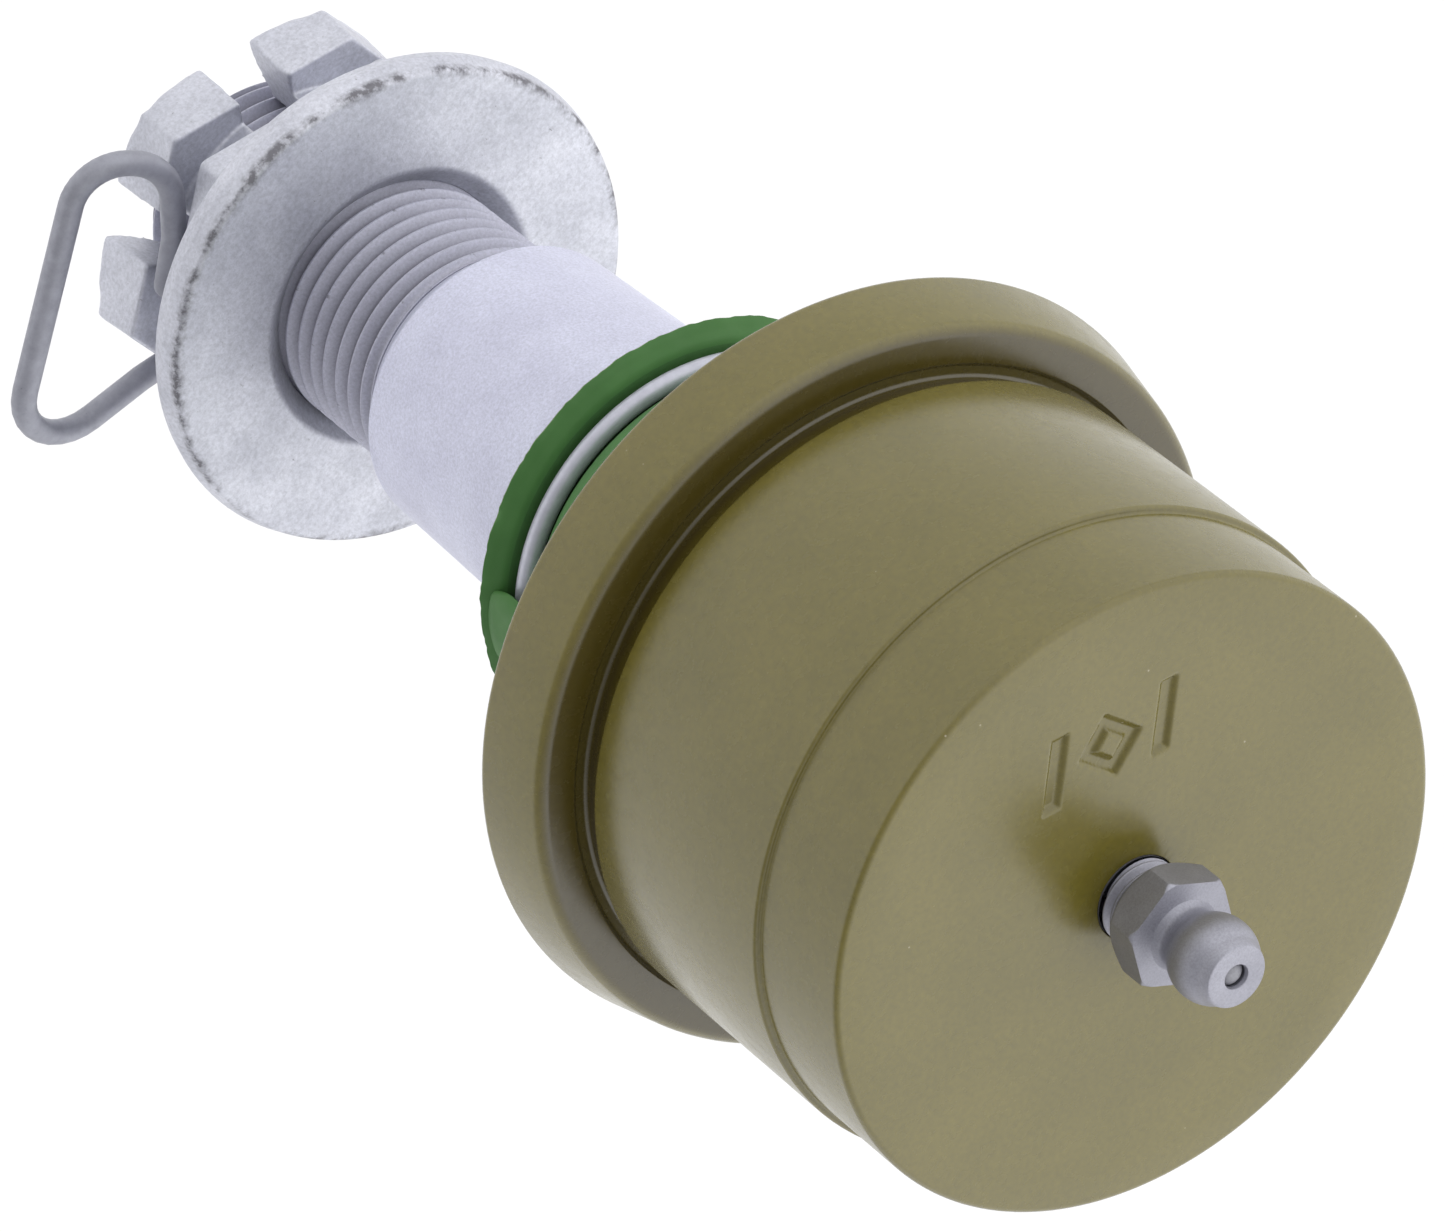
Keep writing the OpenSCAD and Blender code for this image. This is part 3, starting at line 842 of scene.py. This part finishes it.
def merlon():
    """One of the nut's six prongs with the neck under it. Its hexagon corner points along +X."""
    half = NUT_AF / 2
    slot_half = SLOT_W / 2 - 0.15
    crown_end = NUT_LOW - 0.2

    neck_r = 12.3
    uncut = 99           # a cap beyond the hexagon's corners

    def section(z, cap, flare=0.0):
        """A closed loop at one height, cut to a cap radius and standing out by flare."""
        flat = half + flare
        slot = math.atan(slot_half / flat) if cap > flat else math.asin(slot_half / cap)
        reach = math.pi / 6 - slot
        turn = np.linspace(-reach, reach, 25)
        r = np.minimum(flat / np.cos(math.pi / 6 - np.abs(turn)), cap)
        back = math.pi / 6 - math.asin(slot_half / BORE_R)
        inner_turn = np.linspace(back, -back, 9)
        outer = np.column_stack([r * np.cos(turn), r * np.sin(turn)])
        bore = np.column_stack([BORE_R * np.cos(inner_turn), BORE_R * np.sin(inner_turn)])
        loop = np.concatenate([outer, bore])
        return np.column_stack([loop, np.full(len(loop), z)])

    rows = [section(BASE_LOW + 0.6, neck_r), section(PRONG_Z - 0.5, neck_r),
            section(PRONG_Z, uncut), section(PRONG_Z - 2.2, uncut, 0.1),
            section(crown_end + 1.3, uncut, 0.3), section(crown_end + 0.5, 15.8, 0.36),
            section(crown_end, 15.1, 0.36), section(crown_end + 0.1, 13.6),
            section(crown_end + 0.7, 12.0), section(crown_end + 1.6, 10.6)]
    verts, faces = skin(rows)
    count = len(rows[0])
    faces.append(tuple(range(count))[::-1])
    faces.append(tuple(range(len(verts) - count, len(verts))))
    return verts, faces


def nut():
    base = mesh_object("castle_nut_forged", nut_base(), NUT, 32)
    shape = merlon()
    prongs = []
    for k in range(6):
        turn = Matrix.Rotation(math.radians(30 + 60 * k), 3, "Z")
        prongs.append((np.array([turn @ Vector(v) for v in shape[0]]), shape[1]))
    crown = mesh_object("nut_prongs", joined(*prongs), NUT, 32)
    remeshed(crown, 0.17, 16)
    crown.parent = base
    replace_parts(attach(base, "stud"), "castle_nut")


# ---- clip and rings -------------------------------------------------------------------------

def clip():
    """The clip: a straight leg through the hole, a loop outside, and a hook into a notch."""
    notch = (BASE_LOW + PRONG_Z) / 2
    corners = [(-13.9, 0, HOLE_Z), (12.2, 0, HOLE_Z), (16.6, -2.2, HOLE_Z),
               (29.6, -7, HOLE_Z - 0.1), (5.3, -23.1, notch - 1.35), (1.5, -17, notch - 0.1),
               (5.9, -12.45, notch), (9.3, -10.2, notch)]
    path = bent_path(corners, radii=[2, 4, 4.5, 3.85, 3.85, 2.5])
    obj = mesh_object("clip_wire_form", swept_tube(path, WIRE_R), CLIP, 50)
    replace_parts(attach(obj, "stud"), "cotter_clip")


def check_spring():
    """The grease fitting's check spring, as a fixed coil; the real spring shortens as the check ball
    moves back.
    """
    turns, per_turn, wire = 6, 20, 0.16
    low, high = span("fitting_check_spring")
    middle = radius_of("fitting_check_spring") - wire
    turn = np.arange(turns * per_turn + 1) / per_turn
    z = low + wire + (high - low - 2 * wire) * turn / turns
    angle = turn * 2 * math.pi
    path = np.column_stack([middle * np.cos(angle), middle * np.sin(angle), z])
    obj = mesh_object("check_spring_coil", swept_tube(path, wire * 0.95, 8), SPRING, 60)
    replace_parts(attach(obj, "housing"), "fitting_check_spring")
    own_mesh(obj)


def wire_ring(name, node, body, middle, wire):
    z = sum(span(node)) / 2
    turn = np.radians(np.arange(0, 360, 15))
    rows = ring_rows([(middle + wire * math.cos(t), z + wire * math.sin(t)) for t in turn], 256)
    obj = mesh_object(name, skin(rows, closed=True), RING, 80)
    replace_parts(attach(obj, body), node)


housing()
grease_fitting()
boot()
stud()
nut()
clip()
check_spring()
wire_ring("boot_ring_small", "boot_spring_ring", "boot_collar", middle=15.4, wire=0.75)
wire_ring("boot_ring_large", "boot_clamp_ring", "housing", middle=24.4, wire=0.55)

for node, material in {
        "fitting_check_ball": BRIGHT, "fitting_spring_seat": INNER,
        "preload_spring": SPRING, "pressure_plate": INNER, "upper_bearing": BEARING,
        "lower_bearing": BEARING, "cover_plate": INNER}.items():
    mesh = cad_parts[node].data
    mesh.materials.clear()
    mesh.materials.append(material)


# ---- floor, light and camera ----------------------------------------------------------------

def floor():
    n = Nodes("studio_floor")
    n.set(Roughness=0.9)
    n.finish(n.ramp(n.noise(60, 2), (0.3, 0.94), (0.7, 0.96)))
    # far below the part, so that low views still look down on it
    size, z = 9.0, cad_box[0].z - 0.9
    corners = [(-size, -size, z), (size, -size, z), (size, size, z), (-size, size, z)]
    mesh = bpy.data.meshes.new("floor")
    mesh.from_pydata(corners, [], [(0, 1, 2, 3)])
    mesh.materials.append(n.material)
    obj = bpy.data.objects.new("floor", mesh)
    bpy.context.scene.collection.objects.link(obj)


def studio():
    """A white tent that is darker on one side."""
    world = bpy.data.worlds.new("tent")
    bpy.context.scene.world = world
    world.use_nodes = True
    tree = world.node_tree
    place = tree.nodes.new("ShaderNodeTexCoord").outputs["Generated"]
    toward = tree.nodes.new("ShaderNodeVectorMath")
    toward.operation = "DOT_PRODUCT"
    toward.inputs[1].default_value = DARK_SIDE
    tree.links.new(place, toward.inputs[0])
    ramp = tree.nodes.new("ShaderNodeValToRGB")
    ramp.color_ramp.elements[0].position = 0.15
    ramp.color_ramp.elements[0].color = (1.0, 1.0, 1.0, 1)
    ramp.color_ramp.elements[1].position = 0.9
    ramp.color_ramp.elements[1].color = (0.28, 0.28, 0.29, 1)
    tree.links.new(toward.outputs["Value"], ramp.inputs["Fac"])
    tree.links.new(ramp.outputs["Color"], tree.nodes["Background"].inputs["Color"])
    tree.nodes["Background"].inputs["Strength"].default_value = 1.4


def key_light():
    """A soft light above the back, aimed just below the ball."""
    place, target = Vector((0.0, 0.42, 0.36)), Vector((0, 0, -0.03))
    data = bpy.data.lights.new("key", "AREA")
    data.size = 0.5
    data.energy = 0.12
    obj = bpy.data.objects.new("key", data)
    obj.location = place
    obj.rotation_euler = (target - place).to_track_quat("-Z", "Y").to_euler()
    bpy.context.scene.collection.objects.link(obj)


# the camera's right, back and up directions, and how far the ball's centre is from it in metres
RIGHT = Vector((-0.5942, 0.5901, 0.5466))
BACK = Vector((-0.0423, -0.7016, 0.7113))
UP = BACK.cross(RIGHT)
BALL_RIGHT = 0.01657
BALL_DOWN = 0.00973
BALL_AWAY = 0.70623
# the tent's dark side: the camera's own, and left of and below it
DARK_SIDE = tuple((BACK - 0.9 * RIGHT - 0.55 * UP).normalized())


def camera():
    data = bpy.data.cameras.new("camera")
    data.sensor_width = 36.0
    data.lens = 249.1
    data.clip_start, data.clip_end = 0.05, 20
    obj = bpy.data.objects.new("camera", data)
    bpy.context.scene.collection.objects.link(obj)
    turn = Matrix((RIGHT.normalized(), UP.normalized(), BACK.normalized())).transposed()
    place = BACK * BALL_AWAY - RIGHT * BALL_RIGHT + UP * BALL_DOWN
    obj.matrix_world = Matrix.Translation(place) @ turn.to_4x4()
    bpy.context.scene.camera = obj


floor()
camera()
studio()
key_light()
bpy.context.scene.view_settings.view_transform = "Standard"
